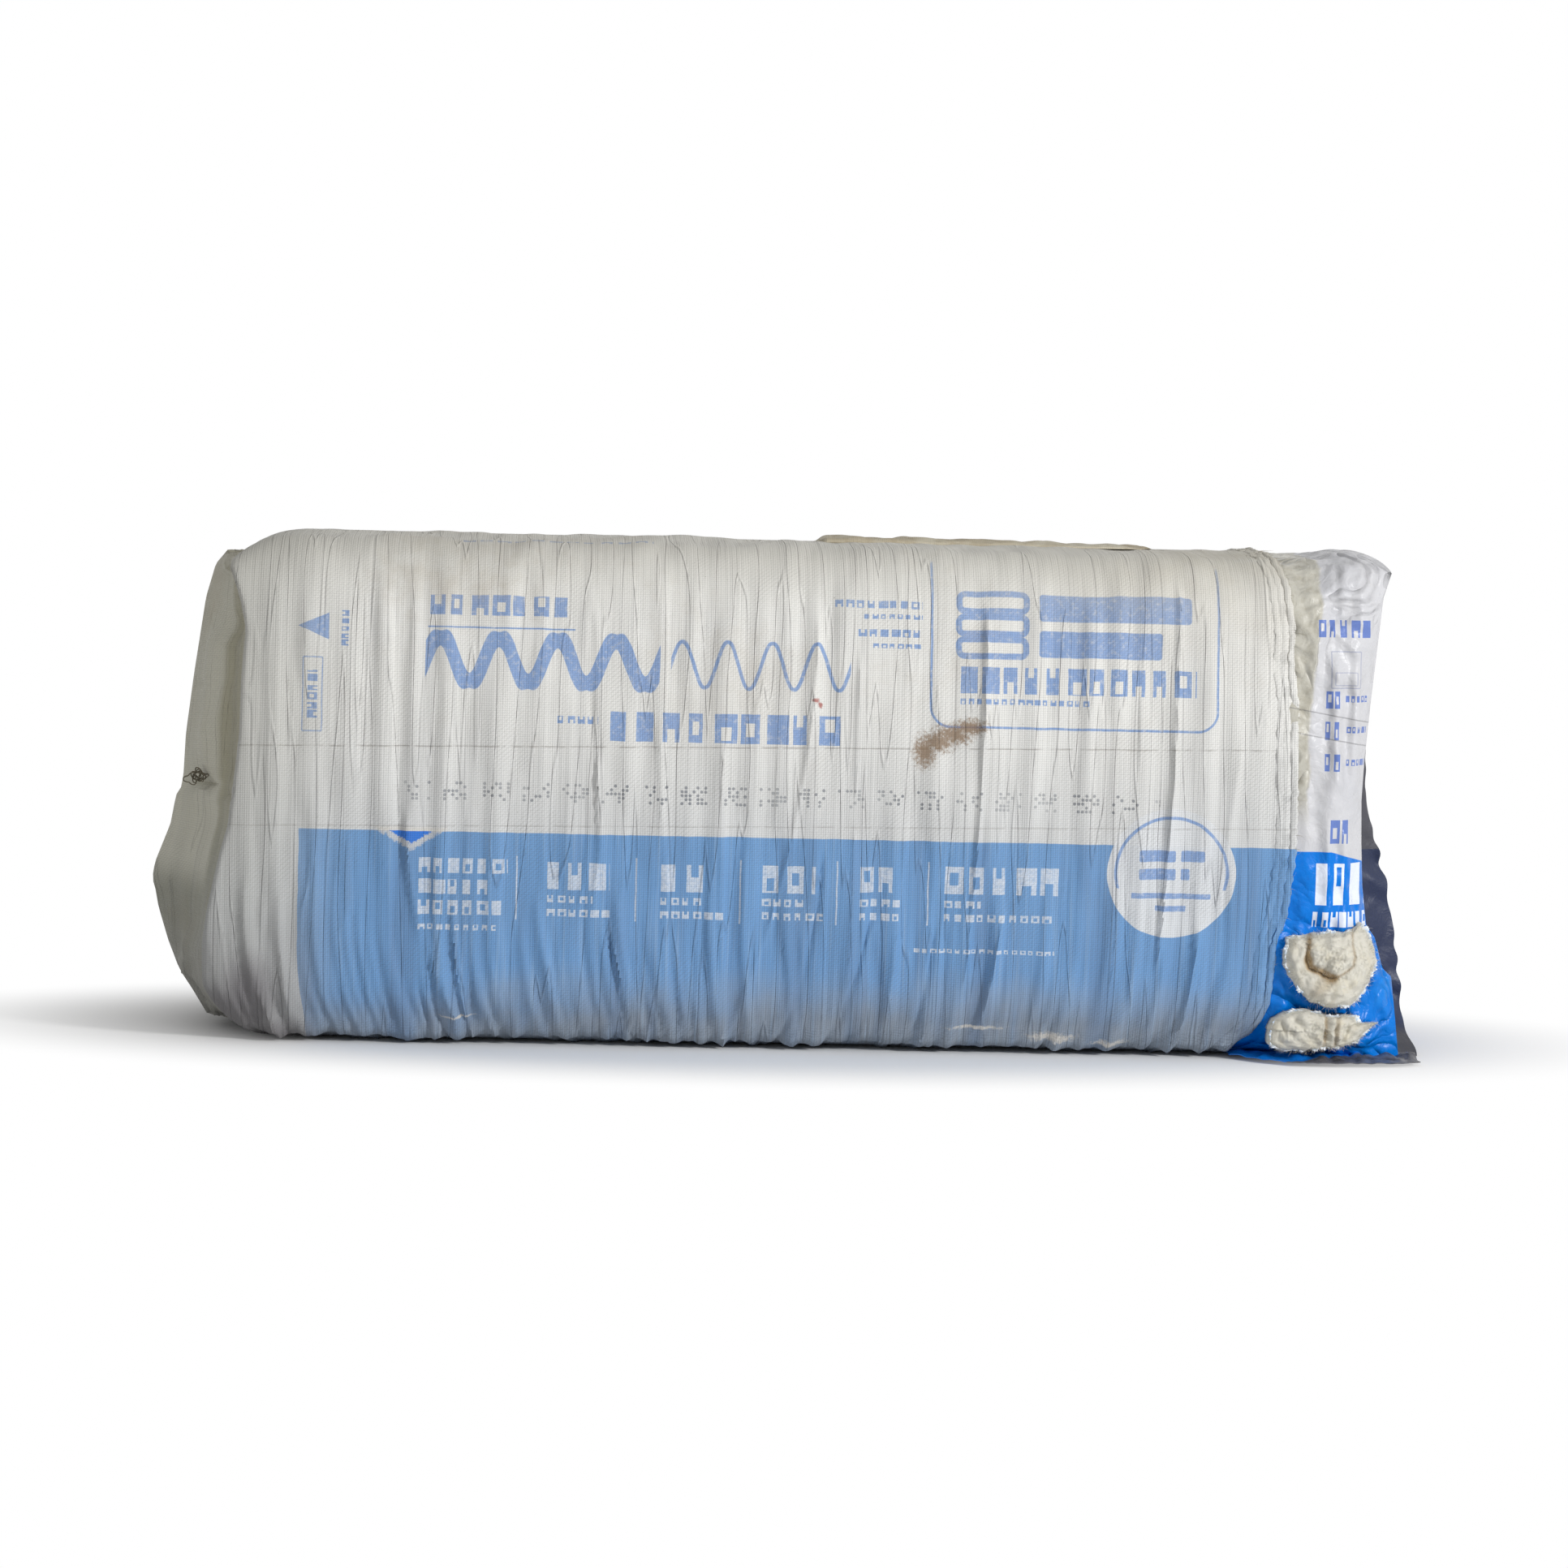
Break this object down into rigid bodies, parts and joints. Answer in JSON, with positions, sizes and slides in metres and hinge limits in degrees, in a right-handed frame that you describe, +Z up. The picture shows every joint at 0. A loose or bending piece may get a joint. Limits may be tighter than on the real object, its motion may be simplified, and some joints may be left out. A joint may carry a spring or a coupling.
{
  "type": "pack of fiberglass insulation batts",
  "caption": "Long pack of squeezed glass wool batts lying on its side, in a torn film bag inside a woven outer bag that is folded shut at one end and open at the other.",
  "frame": {"origin": "on the floor, under the middle of the pack's whole length and depth", "axes": "+X along the pack from its folded end to its open end, +Y through the stack of batts to the back, +Z up"},
  "size_m": [1.4048, 0.4918, 0.5678],
  "materials": {
    "glass_wool": "matt felted fibre, cream to pale yellow",
    "bag_film": "thin crumpled film, white above a blue band",
    "woven_cloth": "dull off-white woven plastic tape with a faded blue print and grime"
  },
  "bodies": {
    "root": {"batts": "glass_wool", "film_bag": "bag_film", "woven_bag": "woven_cloth"}
  },
  "joints": []
}
